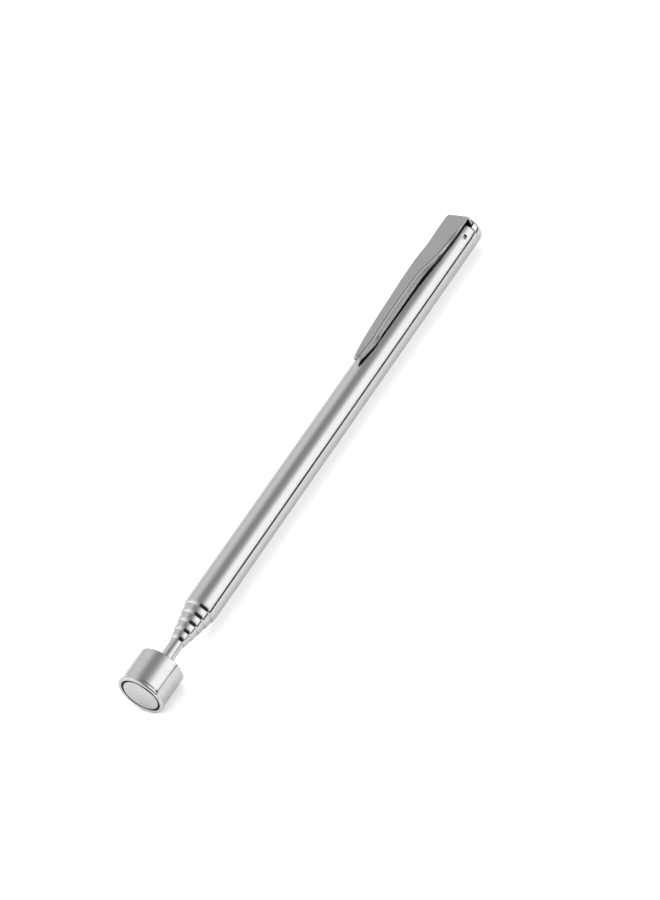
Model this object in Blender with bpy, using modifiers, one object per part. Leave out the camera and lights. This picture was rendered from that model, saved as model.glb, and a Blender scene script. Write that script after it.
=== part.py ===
"""Pen-style magnetic pickup tool with a telescoping stem, closed and lying on its side.

The tool lies along +X, from the magnet to the domed cap, and its pocket clip is on top, towards +Z.
The origin is the centre of the magnet's working face. The handle tube holds four thinner tubes and a rod,
one inside the other. Each has a rolled-in mouth at the front and, at the rear, a split friction spring and
a brass stop bush that can't pass the mouth of the tube around it.
"""

import math

import bmesh
import bpy
from mathutils import Matrix, Vector

MM = 0.001  # sizes below are in millimetres, and this turns them into metres
SIDES = 32

# Driving dimensions
TUBE_RADII = (3.5, 3.1, 2.7, 2.3, 1.9)  # outsides of the handle tube and of the four tubes in it
ROD_RADIUS = 1.45
WALL = 0.22
FIRST_MOUTH = 14.0  # station of the thinnest tube's mouth
MOUTH_STEP = 1.96  # how far each mouth stands out of the tube around it
HANDLE_END = 130.65
CUP_BACK = 8.25

# Fits
CONTACT_GAP = 0.03
RUN_GAP = 0.03
SLIDE_GAP = 0.04
REST_GAP = 0.3

# Rolled mouths
ROLL_LENGTH = 2.0
LIP_WALL = 0.08
LIP_EDGE = 0.05
LAND = 0.5
ROLL_STATIONS = (0.0, 0.35, 0.65, 0.85, 1.0)  # shares of the way along the roll

# Rear ends
FLANGE = 1.0
SPIGOT = 2.4
BUSH_EDGE = 0.1
SPRING_LENGTH = 5.5
SPRING_PLAY = 0.05
NECK_DEPTH = 0.08
SLIT = 0.7
RIVET_TENON = 0.8
RIVET_RADIUS = 1.05
RIVET_HEIGHT = 0.3

# Domed cap
PLUG_DEPTH = 5.0
CAP_SHOULDER = 1.12
DOME_HEIGHT = 1.9
DOME_POINTS = 6
SLOT_WIDTH = 5.6
SLOT_FLOOR = 1.5
SLOT_BELOW_JOINT = 0.2
SLOT_ABOVE_JOINT = 1.3
GROOVE_RADIUS = 2.92
GROOVE_HALF = 0.65

# Punched crimps that hold the cap
CRIMP_INSET = 2.75
CRIMP_ANGLES = (52.5, 180.0, 307.5)  # degrees from the clip towards -Y
DENT_RADIUS = 0.55
BUMP_RADIUS = 0.75
CRIMP_CENTRE = 3.75

# Magnet head
CUP_RADIUS = 5.0
LIP_RADIUS = 5.22
RIM_STATION = 0.05
CUP_BORE = 4.43
CUP_FLOOR = 5.5
MAGNET_RADIUS = 4.05
MAGNET_LENGTH = 5.0
MAGNET_EDGE = 0.2
BOND_RECESS = 0.12
ROD_TENON = 1.0
TENON_HEAD = 1.7
TENON_HEAD_HEIGHT = 0.35

# Pocket clip, folded from one strip of spring steel
SHEET = 0.45
TAB_STATION = 131.6
TAB_FOOT = 1.9
TAB_HALF = 2.55
BEND_RADIUS = 0.55
BEND_POINTS = 5
FOLD_RADIUS = 0.28
FOLD_POINTS = 3
CLIP_STEP = 1.2
HINGE = (131.6, 0.0, 3.9)
# station, height of the outer face, half width of the flat, fold angle, depth of the side flange
CLIP_SHAPE = (
    (130.6, 4.72, 2.08, 0, 0.20),
    (127.0, 4.80, 2.08, 10, 0.20),
    (123.0, 4.98, 2.06, 44, 0.22),
    (120.0, 5.20, 2.02, 76, 0.28),
    (118.0, 5.42, 1.92, 88, 0.38),
    (116.0, 5.70, 1.68, 88, 0.62),
    (114.0, 5.96, 1.38, 88, 0.92),
    (112.0, 6.06, 1.26, 88, 1.04),
    (108.0, 6.04, 1.10, 88, 1.20),
    (104.0, 5.97, 0.96, 88, 1.30),
    (98.0, 5.74, 0.89, 88, 1.14),
    (96.0, 5.60, 0.87, 86, 1.02),
    (94.4, 5.44, 0.90, 76, 0.92),
    (93.0, 5.39, 0.80, 74, 0.82),
    (91.0, 5.38, 0.54, 74, 0.74),
    (89.6, 5.36, 0.32, 74, 0.68),
    (88.5, 5.32, 0.10, 74, 0.60),
)
PAD_STATION = 95.4
PAD_RADIUS = 0.80
PAD_HEIGHT = 0.82
PAD_GAP = 0.12

STEEL = (0.78, 0.78, 0.77)
BRASS = (0.80, 0.60, 0.30)
NICKEL = (0.72, 0.72, 0.70)
EPOXY = (0.02, 0.02, 0.02)


def clear_scene():
    for existing in list(bpy.data.objects):
        bpy.data.objects.remove(existing, do_unlink=True)


def new_collection(name):
    collection = bpy.data.collections.new(name)
    bpy.context.scene.collection.children.link(collection)
    return collection


def finish(name, colour, roughness, metallic):
    material = bpy.data.materials.new(name)
    material.use_nodes = True
    shader = material.node_tree.nodes["Principled BSDF"]
    shader.inputs["Base Color"].default_value = (*colour, 1)
    shader.inputs["Roughness"].default_value = roughness
    shader.inputs["Metallic"].default_value = metallic
    return material


def place(name, mesh, collection, material=None):
    """Puts a mesh in a collection as a piece of the tool or, with no material, as a hidden cutter."""
    piece = bpy.data.objects.new(name, mesh)
    collection.objects.link(piece)
    if material:
        mesh.materials.append(material)
    else:
        piece.hide_render = True
        piece.display_type = "WIRE"
    return piece


def turned(name, material, profile, ring=True):
    """Spins (radius, station) points about the tool's axis.

    The points run down the outer side, from the cap's end to the magnet's end. A ring's outline closes
    on itself, and a solid piece's outline starts and ends on the axis.
    """
    outline = bmesh.new()
    points = [outline.verts.new((radius * MM, 0, station * MM)) for radius, station in profile]
    followers = points[1:] + points[:1] if ring else points[1:]
    for point, follower in zip(points, followers):
        outline.edges.new((point, follower))
    mesh = bpy.data.meshes.new(name)
    outline.to_mesh(mesh)
    outline.free()
    piece = place(name, mesh, TOOL, material)
    piece.rotation_euler.y = math.pi / 2
    spin = piece.modifiers.new("Spin", "SCREW")
    spin.axis = "Z"
    spin.steps = SIDES
    spin.render_steps = SIDES
    spin.use_merge_vertices = True
    spin.merge_threshold = 1e-6
    spin.use_smooth_shade = True
    return piece


def box_cutter(name, low, high):
    """A closed box between two corners, given in millimetres."""
    build = bmesh.new()
    bmesh.ops.create_cube(build, size=1)
    size = [(b - a) * MM for a, b in zip(low, high)]
    middle = Vector([(a + b) / 2 * MM for a, b in zip(low, high)])
    bmesh.ops.scale(build, vec=size, verts=build.verts)
    bmesh.ops.translate(build, vec=middle, verts=build.verts)
    mesh = bpy.data.meshes.new(name)
    build.to_mesh(mesh)
    build.free()
    return place(name, mesh, CUTTERS)


def crimp_cutter(name, radius):
    """One ball at each crimp, centred just outside the handle tube."""
    build = bmesh.new()
    for angle in CRIMP_ANGLES:
        turn = math.radians(angle)
        centre = Vector((
            (HANDLE_END - CRIMP_INSET) * MM,
            -CRIMP_CENTRE * math.sin(turn) * MM,
            CRIMP_CENTRE * math.cos(turn) * MM,
        ))
        bmesh.ops.create_uvsphere(
            build, u_segments=12, v_segments=8, radius=radius * MM, matrix=Matrix.Translation(centre)
        )
    mesh = bpy.data.meshes.new(name)
    build.to_mesh(mesh)
    build.free()
    return place(name, mesh, CUTTERS)


def combine(piece, other, operation):
    cut = piece.modifiers.new(operation.title(), "BOOLEAN")
    cut.operation = operation
    cut.solver = "EXACT"
    cut.object = other


def mouth_of(number):
    """Station of a tube's mouth. Tube 0 is the handle, whose mouth lies farthest from the magnet."""
    return FIRST_MOUTH + MOUTH_STEP * (len(TUBE_RADII) - 1 - number)


def bore_of(number):
    return TUBE_RADII[number] - WALL


def inner_radius(number):
    """Outside radius of what slides in this tube."""
    return TUBE_RADII[number + 1] if number + 1 < len(TUBE_RADII) else ROD_RADIUS


def rear_of(number):
    """Station of the rear face of the stop bush on sliding piece 1, 2 ... 5, with the tool closed."""
    first = HANDLE_END - PLUG_DEPTH - REST_GAP
    rear = first - (number - 1) * (FLANGE + SPIGOT + REST_GAP)
    return rear - RIVET_HEIGHT if number == len(TUBE_RADII) else rear


def neck_end(number):
    """Rear end of the neck that carries the friction spring."""
    return rear_of(number) - FLANGE - CONTACT_GAP


def neck_start(number):
    return neck_end(number) - SPRING_LENGTH - 2 * SPRING_PLAY


def tube_profile(number):
    radius = TUBE_RADII[number]
    mouth = mouth_of(number)
    bore = bore_of(number)
    opening = inner_radius(number) + RUN_GAP
    lip = opening + LIP_WALL
    if number:
        neck = radius - NECK_DEPTH
        rear = neck_end(number)
        profile = [(neck, rear), (neck, neck_start(number)), (radius, neck_start(number) - NECK_DEPTH)]
    else:
        rear = HANDLE_END
        profile = [(radius, rear)]
    for along in ROLL_STATIONS:
        # A slight taper that ends in a short, steep nose.
        rolled = radius - (radius - lip) * (0.5 * along**1.3 + 0.5 * along**6)
        profile.append((rolled, mouth + LIP_EDGE + (ROLL_LENGTH - LIP_EDGE) * (1 - along)))
    profile.append((lip - LIP_EDGE, mouth))
    profile += [(opening, mouth), (opening, mouth + LAND), (bore, mouth + ROLL_LENGTH), (bore, rear)]
    return profile


def make_handle():
    tube = turned("handle_tube", POLISHED, tube_profile(0))
    # The bumps are kept inside the wall, so that the crimps stay flush around their dents.
    bumps = crimp_cutter("crimp_bumps", BUMP_RADIUS)
    limit = bmesh.new()
    bmesh.ops.create_cone(
        limit,
        cap_ends=True,
        segments=SIDES,
        radius1=(TUBE_RADII[0] - WALL / 2) * MM,
        radius2=(TUBE_RADII[0] - WALL / 2) * MM,
        depth=3 * CRIMP_INSET * MM,
        matrix=Matrix.Translation((HANDLE_END * MM, 0, 0)) @ Matrix.Rotation(math.pi / 2, 4, "Y"),
    )
    mesh = bpy.data.meshes.new("crimp_limit")
    limit.to_mesh(mesh)
    limit.free()
    combine(bumps, place("crimp_limit", mesh, CUTTERS), "INTERSECT")
    combine(tube, bumps, "UNION")
    combine(tube, crimp_cutter("crimp_dents", DENT_RADIUS), "DIFFERENCE")


def make_cap():
    joint = HANDLE_END + CONTACT_GAP
    shoulder = HANDLE_END + CAP_SHOULDER + CONTACT_GAP
    spigot = bore_of(0) - CONTACT_GAP
    foot = HANDLE_END - PLUG_DEPTH
    groove = HANDLE_END - CRIMP_INSET
    profile = []
    for point in range(DOME_POINTS + 1):
        turn = math.pi / 2 * (1 - point / DOME_POINTS)
        profile.append((TUBE_RADII[0] * math.cos(turn), shoulder + DOME_HEIGHT * math.sin(turn)))
    profile[0] = (0, shoulder + DOME_HEIGHT)
    profile += [
        (TUBE_RADII[0], joint),
        (spigot, joint),
        (spigot, groove + GROOVE_HALF),
        (GROOVE_RADIUS, groove + GROOVE_HALF),
        (GROOVE_RADIUS, groove - GROOVE_HALF),
        (spigot, groove - GROOVE_HALF),
        (spigot, foot + 2 * BUSH_EDGE),
        (spigot - 2 * BUSH_EDGE, foot),
        (0, foot),
    ]
    cap = turned("end_cap", POLISHED, profile, ring=False)
    slot = box_cutter(
        "clip_slot",
        (HANDLE_END - SLOT_BELOW_JOINT, -SLOT_WIDTH / 2, SLOT_FLOOR),
        (HANDLE_END + SLOT_ABOVE_JOINT, SLOT_WIDTH / 2, TUBE_RADII[0] + 1),
    )
    combine(cap, slot, "DIFFERENCE")


def make_tube(number):
    turned(f"tube_{number}", POLISHED, tube_profile(number))


def make_rod():
    """The solid rod, riveted into the magnet's cup at the front and into its stop ring at the rear."""
    neck = ROD_RADIUS - NECK_DEPTH
    last = len(TUBE_RADII)
    rear = rear_of(last) + CONTACT_GAP
    head = CUP_FLOOR - CONTACT_GAP
    profile = [
        (0, rear + RIVET_HEIGHT),
        (RIVET_RADIUS - 0.35, rear + RIVET_HEIGHT),
        (RIVET_RADIUS, rear + 0.1),
        (RIVET_RADIUS, rear),
        (RIVET_TENON, rear),
        (RIVET_TENON, neck_end(last)),
        (neck, neck_end(last)),
        (neck, neck_start(last)),
        (ROD_RADIUS, neck_start(last) - NECK_DEPTH),
        (ROD_RADIUS, CUP_BACK + CONTACT_GAP),
        (ROD_TENON, CUP_BACK + CONTACT_GAP),
        (ROD_TENON, head),
        (TENON_HEAD, head),
        (TENON_HEAD, head - TENON_HEAD_HEIGHT + 0.15),
        (TENON_HEAD - 0.2, head - TENON_HEAD_HEIGHT),
        (0, head - TENON_HEAD_HEIGHT),
    ]
    turned("tip_rod", POLISHED, profile, ring=False)


def make_stop_bush(number):
    """Brass bush in a tube's rear end. Its flange slides in the bore of the tube around it."""
    rear = rear_of(number)
    flange = bore_of(number - 1) - SLIDE_GAP
    profile = [(flange - BUSH_EDGE, rear), (flange, rear - BUSH_EDGE), (flange, rear - FLANGE)]
    if number < len(TUBE_RADII):
        spigot = bore_of(number) - CONTACT_GAP
        hole = spigot / 2
        front = rear - FLANGE - SPIGOT
        profile += [(spigot, rear - FLANGE), (spigot, front + BUSH_EDGE), (spigot - BUSH_EDGE, front)]
    else:
        hole = RIVET_TENON + CONTACT_GAP
        front = rear - FLANGE
    profile += [(hole, front), (hole, rear)]
    turned(f"stop_bush_{number}", BRASSY, profile)


def make_friction_spring(number, slit):
    """Split sleeve of spring bronze on a tube's neck. It drags on the bore of the tube around it."""
    radius = TUBE_RADII[number] if number < len(TUBE_RADII) else ROD_RADIUS
    outside = bore_of(number - 1) - SLIDE_GAP
    inside = radius - NECK_DEPTH + SPRING_PLAY
    rear = neck_end(number) - SPRING_PLAY
    front = rear - SPRING_LENGTH
    profile = [(outside, rear), (outside, front), (inside, front), (inside, rear)]
    sleeve = turned(f"friction_spring_{number}", SPRINGY, profile)
    combine(sleeve, slit, "DIFFERENCE")


def make_head():
    profile = [
        (CUP_RADIUS - 0.12, CUP_BACK),
        (CUP_RADIUS, CUP_BACK - 0.12),
        (CUP_RADIUS, 1.25),
        (CUP_RADIUS + 0.05, 0.90),
        (LIP_RADIUS - 0.03, 0.50),
        (LIP_RADIUS, 0.32),
        (LIP_RADIUS - 0.05, 0.14),
        (CUP_RADIUS, RIM_STATION),
        (CUP_BORE + 0.08, RIM_STATION),
        (CUP_BORE, RIM_STATION + 0.08),
        (CUP_BORE, CUP_FLOOR),
        (ROD_TENON + CONTACT_GAP, CUP_FLOOR),
        (ROD_TENON + CONTACT_GAP, CUP_BACK),
    ]
    turned("magnet_cup", POLISHED, profile)
    magnet = [
        (0, MAGNET_LENGTH),
        (MAGNET_RADIUS, MAGNET_LENGTH),
        (MAGNET_RADIUS, MAGNET_EDGE),
        (MAGNET_RADIUS - MAGNET_EDGE, 0),
        (0, 0),
    ]
    turned("magnet", NICKELLED, magnet, ring=False)
    inside = MAGNET_RADIUS + CONTACT_GAP
    outside = CUP_BORE - CONTACT_GAP
    bond = [(outside, MAGNET_LENGTH), (outside, BOND_RECESS), (inside, BOND_RECESS), (inside, MAGNET_LENGTH)]
    turned("magnet_bond", BONDING, bond)


def slope_at(points, index):
    """Slope through a point of a curve that never overshoots: level at the ends and at each turn."""
    if index in (0, len(points) - 1):
        return 0
    before, here, after = points[index - 1 : index + 2]
    rise = (here[1] - before[1]) / (here[0] - before[0])
    onward = (after[1] - here[1]) / (after[0] - here[0])
    return 2 * rise * onward / (rise + onward) if rise * onward > 0 else 0


def eased(points, station):
    """Height at a station of a smooth curve through (station, height) points."""
    for index, (first, second) in enumerate(zip(points, points[1:])):
        if second[0] <= station <= first[0]:
            break
    span = second[0] - first[0]
    t = (station - first[0]) / span
    leaving = slope_at(points, index) * span
    arriving = slope_at(points, index + 1) * span
    start_part = (2 * t**3 - 3 * t**2 + 1) * first[1] + (t**3 - 2 * t**2 + t) * leaving
    return start_part + (3 * t**2 - 2 * t**3) * second[1] + (t**3 - t**2) * arriving


def clip_row(station):
    """The clip's height, flat, fold and flange at a station."""
    return [eased([(row[0], row[column]) for row in CLIP_SHAPE], station) for column in range(1, 5)]


def clip_stations():
    """Stations from the bend to the tip: every row of the shape, with even steps between the rows."""
    stations = []
    for above, below in zip(CLIP_SHAPE, CLIP_SHAPE[1:]):
        steps = max(1, round((above[0] - below[0]) / CLIP_STEP))
        stations += [above[0] + (below[0] - above[0]) * step / steps for step in range(steps)]
    return stations + [CLIP_SHAPE[-1][0]]


def clip_section(flat, fold, flange):
    """Half of the strip's cross-section, as (across, down) points from the middle to the edge."""
    turn = math.radians(fold)
    points = [(0, 0), (flat, 0)]
    for point in range(1, FOLD_POINTS + 1):
        angle = turn * point / FOLD_POINTS
        # An unfolded strip keeps the length that its fold takes up.
        straight = FOLD_RADIUS * (math.pi / 2 - turn) * point / FOLD_POINTS
        reach = flat + FOLD_RADIUS * math.sin(angle) + straight * math.cos(angle)
        points.append((reach, FOLD_RADIUS * (1 - math.cos(angle)) + straight * math.sin(angle)))
    reach, drop = points[-1]
    points.append((reach + flange * math.cos(turn), drop + flange * math.sin(turn)))
    return points


def clip_path():
    """(station, height, section) down the middle of the sheet: the tab, the bend, then the arm."""
    top = CLIP_SHAPE[0][1] - SHEET / 2
    arm_start = TAB_STATION - BEND_RADIUS
    fold_length = FOLD_RADIUS * math.pi / 2
    tab = clip_section(TAB_HALF - fold_length - 1.0, 0, 1.0)
    path = [(TAB_STATION, TAB_FOOT, tab), (TAB_STATION, (TAB_FOOT + top - BEND_RADIUS) / 2, tab)]
    for point in range(BEND_POINTS):
        turn = math.pi / 2 * point / BEND_POINTS
        station = arm_start + BEND_RADIUS * math.cos(turn)
        path.append((station, top - BEND_RADIUS + BEND_RADIUS * math.sin(turn), tab))
    for station in clip_stations():
        height, flat, fold, flange = clip_row(station)
        path.append((station, height - SHEET / 2, clip_section(flat, fold, flange)))
    return path


def make_clip():
    """Lofts the folded strip along its path, then gives the sheet its thickness."""
    path = clip_path()
    build = bmesh.new()
    rows = []
    for index, (station, height, section) in enumerate(path):
        before = path[max(index - 1, 0)]
        after = path[min(index + 1, len(path) - 1)]
        along = Vector((after[0] - before[0], 0, after[1] - before[1])).normalized()
        outward = Vector((0, 1, 0)).cross(along)
        middle = Vector((station, 0, height))
        halves = [(-across, down) for across, down in reversed(section[1:])] + section
        rows.append([
            build.verts.new((middle + Vector((0, across, 0)) - outward * down - Vector(HINGE)) * MM)
            for across, down in halves
        ])
    for row, following in zip(rows, rows[1:]):
        for left in range(len(row) - 1):
            build.faces.new((row[left], following[left], following[left + 1], row[left + 1]))
    bmesh.ops.recalc_face_normals(build, faces=build.faces)
    mesh = bpy.data.meshes.new("pocket_clip")
    build.to_mesh(mesh)
    build.free()
    clip = place("pocket_clip", mesh, TOOL, POLISHED)
    clip.location = Vector(HINGE) * MM
    sheet = clip.modifiers.new("Sheet", "SOLIDIFY")
    sheet.thickness = SHEET * MM
    sheet.offset = 0
    sheet.use_even_offset = True
    make_clip_pad(clip)


def make_clip_pad(clip):
    """The pressed pad under the clip's tip, which rests on the handle tube."""
    build = bmesh.new()
    bmesh.ops.create_uvsphere(build, u_segments=16, v_segments=8, radius=PAD_RADIUS * MM)
    bmesh.ops.scale(build, vec=(1, 1, PAD_HEIGHT / PAD_RADIUS), verts=build.verts)
    middle = Vector((PAD_STATION, 0, TUBE_RADII[0] + PAD_GAP + PAD_HEIGHT)) * MM
    bmesh.ops.translate(build, vec=middle, verts=build.verts)
    mesh = bpy.data.meshes.new("clip_pad")
    build.to_mesh(mesh)
    build.free()
    combine(clip, place("clip_pad", mesh, CUTTERS), "UNION")


clear_scene()
TOOL = new_collection("magnetic_pickup_tool")
CUTTERS = new_collection("cutters")
POLISHED = finish("polished_steel", STEEL, 0.12, 1)
BRASSY = finish("brass", BRASS, 0.25, 1)
SPRINGY = finish("spring_bronze", BRASS, 0.3, 1)
NICKELLED = finish("nickel_plate", NICKEL, 0.3, 1)
BONDING = finish("epoxy", EPOXY, 0.5, 0)

make_head()
make_handle()
make_cap()
make_clip()
make_rod()
for sliding in range(1, len(TUBE_RADII)):
    make_tube(sliding)
SLIT_CUTTER = box_cutter(
    "spring_slit",
    (neck_start(len(TUBE_RADII)) - 1, -SLIT / 2, -TUBE_RADII[0]),
    (HANDLE_END, SLIT / 2, -0.5),
)
for sliding in range(1, len(TUBE_RADII) + 1):
    make_stop_bush(sliding)
    make_friction_spring(sliding, SLIT_CUTTER)
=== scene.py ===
# %% [markdown]
# # A telescoping magnetic pickup tool
#
# The tool is a pen-sized steel stem with a magnet at its tip. The handle holds four thinner tubes and a
# rod, one inside the other, and a folded spring clip holds it in a shirt pocket. It lies along +X, from
# the magnet to the domed cap, with its clip on top.
#
# Nearly every piece was turned on a lathe or drawn through a die, so most of this lesson is one idea:
# draw half of a cross-section, spin it about the tool's axis, and round its edges. The clip is the
# exception: it was folded from flat spring steel, and it is folded here in the same way.

# %% Load the measured frame
import math

import bmesh
import bpy
from mathutils import Matrix, Vector


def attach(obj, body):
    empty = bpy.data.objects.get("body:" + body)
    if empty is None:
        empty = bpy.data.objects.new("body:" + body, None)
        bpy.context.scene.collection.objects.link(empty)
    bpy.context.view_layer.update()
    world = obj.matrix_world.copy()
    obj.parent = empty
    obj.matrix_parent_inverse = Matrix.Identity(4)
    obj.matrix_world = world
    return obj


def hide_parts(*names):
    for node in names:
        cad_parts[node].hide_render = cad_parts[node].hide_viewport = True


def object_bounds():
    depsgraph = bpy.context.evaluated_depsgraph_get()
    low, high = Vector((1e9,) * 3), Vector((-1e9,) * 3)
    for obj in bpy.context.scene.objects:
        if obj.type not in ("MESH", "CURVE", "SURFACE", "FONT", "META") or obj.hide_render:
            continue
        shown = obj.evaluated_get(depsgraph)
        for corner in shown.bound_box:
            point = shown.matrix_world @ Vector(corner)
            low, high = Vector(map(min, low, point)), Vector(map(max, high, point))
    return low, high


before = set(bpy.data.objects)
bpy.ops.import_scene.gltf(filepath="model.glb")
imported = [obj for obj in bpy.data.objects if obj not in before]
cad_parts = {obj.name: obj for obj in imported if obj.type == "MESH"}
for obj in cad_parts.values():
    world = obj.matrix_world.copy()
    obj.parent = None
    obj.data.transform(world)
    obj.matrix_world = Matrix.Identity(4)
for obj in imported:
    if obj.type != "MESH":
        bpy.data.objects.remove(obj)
CAD_BOX = [list(corner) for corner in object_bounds()]
MM = 0.001  # sizes below are in millimetres, and this turns them into metres
print("closed length:", round((CAD_BOX[1][0] - CAD_BOX[0][0]) / MM, 1), "mm")

# %% [markdown]
# ## The camera
#
# A camera can be aimed by hand, but a roll and a long lens are easier to keep in numbers: how far round
# the tool it stands, how high, how far it is tilted over, and where it is in its own right, up and back
# directions. The long lens keeps the tool's two edges almost parallel.

# %% Set the camera
VIEW_AZIMUTH = -37.2
VIEW_ELEVATION = 38.4
VIEW_ROLL = -29.85
VIEW_OFFSET = (37.3, 48.35, 750.0)  # right, up and back from the middle of the magnet's face
LENS = 152.7

camera = bpy.data.objects.new("camera", bpy.data.cameras.new("camera"))
bpy.context.scene.collection.objects.link(camera)
bpy.context.scene.camera = camera
camera.data.lens = LENS
camera.data.clip_start = 0.01
turn = (
    Matrix.Rotation(math.radians(VIEW_AZIMUTH), 4, "Z")
    @ Matrix.Rotation(math.radians(90 - VIEW_ELEVATION), 4, "X")
    @ Matrix.Rotation(math.radians(VIEW_ROLL), 4, "Z")
)
camera.matrix_world = turn @ Matrix.Translation(Vector(VIEW_OFFSET) * MM)
print("camera at", [round(c, 3) for c in camera.matrix_world.translation])

# %% [markdown]
# ## The studio
#
# Polished steel has no colour of its own to show: it shows the room. So the room is the real paint here.
# A light tent gives soft greys that change slowly from the back, over the top, to the front. One could
# build the tent from panels, but a world shader that reads only the direction is smoother and has no
# corners. The broad highlight in front is part of the tent too, so it fades softly on both sides. The
# lamps light only what is dull, such as the table, and are hidden from reflections.

# %% The light tent
# A Mix node has sockets for several kinds of value, and these are its sockets for colours.
MIX_FIRST, MIX_SECOND, MIX_RESULT = 6, 7, 2
# Each row has the degrees round the tool, from +Y over the top towards -Y, and two greys. The sides of
# the tubes reflect the first, which lies towards the cap's end. The noses of the mouths reflect the
# second, which lies towards the magnet's end.
TENT = (
    (-60, 0.36, 0.60),
    (8, 0.50, 0.80),
    (30, 0.565, 0.90),
    (48, 0.565, 0.90),
    (62, 0.54, 0.85),
    (70, 0.45, 0.75),
    (78, 0.36, 0.65),
    (90, 0.25, 0.45),
    (103, 0.235, 0.30),
    (113, 0.275, 0.06),
    (121, 0.35, 0.02),
    (127, 0.45, 0.02),
    (133, 0.60, 0.02),
    (140, 0.78, 0.02),
    (147, 0.91, 0.02),
    (166, 0.965, 0.02),
    (185, 0.94, 0.03),
)
TENT_TINT = (1.0, 1.0, 0.99)
TENT_STRENGTH = 1.33
END_GREY = 0.12  # straight along +X, beyond the cap
NOSE_FADE = (0.02, 0.30)  # the direction's X, where the second grey gives way to the first
END_FADE = (0.72, 0.92)  # and where the first gives way to the grey beyond the cap

world = bpy.data.worlds.new("light_tent")
bpy.context.scene.world = world
world.use_nodes = True
tent = world.node_tree
direction = tent.nodes.new("ShaderNodeTexCoord")
parts = tent.nodes.new("ShaderNodeSeparateXYZ")
tent.links.new(direction.outputs["Generated"], parts.inputs[0])
around = tent.nodes.new("ShaderNodeMath")
around.operation = "ARCTAN2"
tent.links.new(parts.outputs["Z"], around.inputs[0])
tent.links.new(parts.outputs["Y"], around.inputs[1])
share = tent.nodes.new("ShaderNodeMapRange")
share.inputs["From Min"].default_value = -math.pi
share.inputs["From Max"].default_value = math.pi
tent.links.new(around.outputs[0], share.inputs["Value"])


def tent_ramp(column):
    """A ramp of greys round the tool, from one column of the table."""
    ramp = tent.nodes.new("ShaderNodeValToRGB")
    stops = ramp.color_ramp.elements
    for index, row in enumerate(TENT):
        stop = stops[index] if index < 2 else stops.new(1)
        stop.position = (row[0] + 180) / 360
        stop.color = [row[column] * tint for tint in TENT_TINT] + [1]
    tent.links.new(share.outputs["Result"], ramp.inputs["Fac"])
    return ramp.outputs["Color"]


def tent_mix(fade, first, second):
    """Changes from one colour to another as the direction's X crosses the fade. None is the end's grey."""
    step = tent.nodes.new("ShaderNodeMapRange")
    step.interpolation_type = "SMOOTHSTEP"
    step.inputs["From Min"].default_value, step.inputs["From Max"].default_value = fade
    tent.links.new(parts.outputs["X"], step.inputs["Value"])
    mix = tent.nodes.new("ShaderNodeMix")
    mix.data_type = "RGBA"
    tent.links.new(step.outputs["Result"], mix.inputs["Factor"])
    tent.links.new(first, mix.inputs[MIX_FIRST])
    if second is None:
        mix.inputs[MIX_SECOND].default_value = [END_GREY * tint for tint in TENT_TINT] + [1]
    else:
        tent.links.new(second, mix.inputs[MIX_SECOND])
    return mix.outputs[MIX_RESULT]


sides = tent_mix(NOSE_FADE, tent_ramp(2), tent_ramp(1))
tent.links.new(tent_mix(END_FADE, sides, None), tent.nodes["Background"].inputs["Color"])
tent.nodes["Background"].inputs["Strength"].default_value = TENT_STRENGTH
bpy.context.scene.view_settings.view_transform = "Standard"
print("the tent has", len(TENT), "greys round the tool")

# %% Lights
def softbox(name, position, target, size, watts):
    lamp = bpy.data.lights.new(name, "AREA")
    lamp.shape = "RECTANGLE"
    lamp.size, lamp.size_y = size
    lamp.energy = watts
    light = bpy.data.objects.new(name, lamp)
    bpy.context.scene.collection.objects.link(light)
    light.location = position
    light.rotation_euler = (Vector(target) - Vector(position)).to_track_quat("-Z", "Y").to_euler()
    return light


rear = softbox("rear_softbox", (-0.25, 0.62, 0.95), (0.05, 0, 0), (0.45, 0.45), 3.0)
front = softbox("front_softbox", (0.1, -0.9, 0.45), (0.05, 0, 0), (0.9, 0.5), 16.0)
fill = softbox("overhead_fill", (0.1, 0.0, 1.6), (0.1, 0, 0), (2.4, 2.4), 27.0)
for lamp in (rear, front, fill):
    lamp.visible_glossy = False
print("softboxes:", rear.name, front.name, fill.name)

# %% [markdown]
# ## The table
#
# The floor is a wide plane that meets the lowest point of the magnet's cup. Its warm white is only a
# little off neutral. The cards on it are seen by reflections alone, so they never hide the tool or throw
# a shadow: a grey one keeps the table's reflection quieter than the table, a black one draws the thin
# dark line, and a flag beside the mouths makes the dark bands under their rolled lips.

# %% Floor and cards
FLOOR_DROP = 0.00001  # keeps the floor just clear of the cup's lip
FLOOR_HEIGHT = CAD_BOX[0][2] - FLOOR_DROP
FLOOR_REACH = 6.0
FLOOR_COLOUR = (0.80, 0.80, 0.79)
STAGE_ROUGHNESS = 0.9
STAGE_SHINE = 0.1


def stage_plane(name, low, high, height, colour):
    build = bmesh.new()
    bmesh.ops.create_grid(build, x_segments=1, y_segments=1, size=0.5)
    middle = Vector(((low[0] + high[0]) / 2, (low[1] + high[1]) / 2, height))
    bmesh.ops.scale(build, vec=(high[0] - low[0], high[1] - low[1], 1), verts=build.verts)
    bmesh.ops.translate(build, vec=middle, verts=build.verts)
    mesh = bpy.data.meshes.new(name)
    build.to_mesh(mesh)
    build.free()
    material = bpy.data.materials.new(name)
    material.use_nodes = True
    shader = material.node_tree.nodes["Principled BSDF"]
    shader.inputs["Base Color"].default_value = (*colour, 1)
    shader.inputs["Roughness"].default_value = STAGE_ROUGHNESS
    shader.inputs["Specular IOR Level"].default_value = STAGE_SHINE
    mesh.materials.append(material)
    plane = bpy.data.objects.new(name, mesh)
    bpy.context.scene.collection.objects.link(plane)
    return plane


stage_plane("floor", (-FLOOR_REACH, -FLOOR_REACH), (FLOOR_REACH, FLOOR_REACH), FLOOR_HEIGHT, FLOOR_COLOUR)
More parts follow.
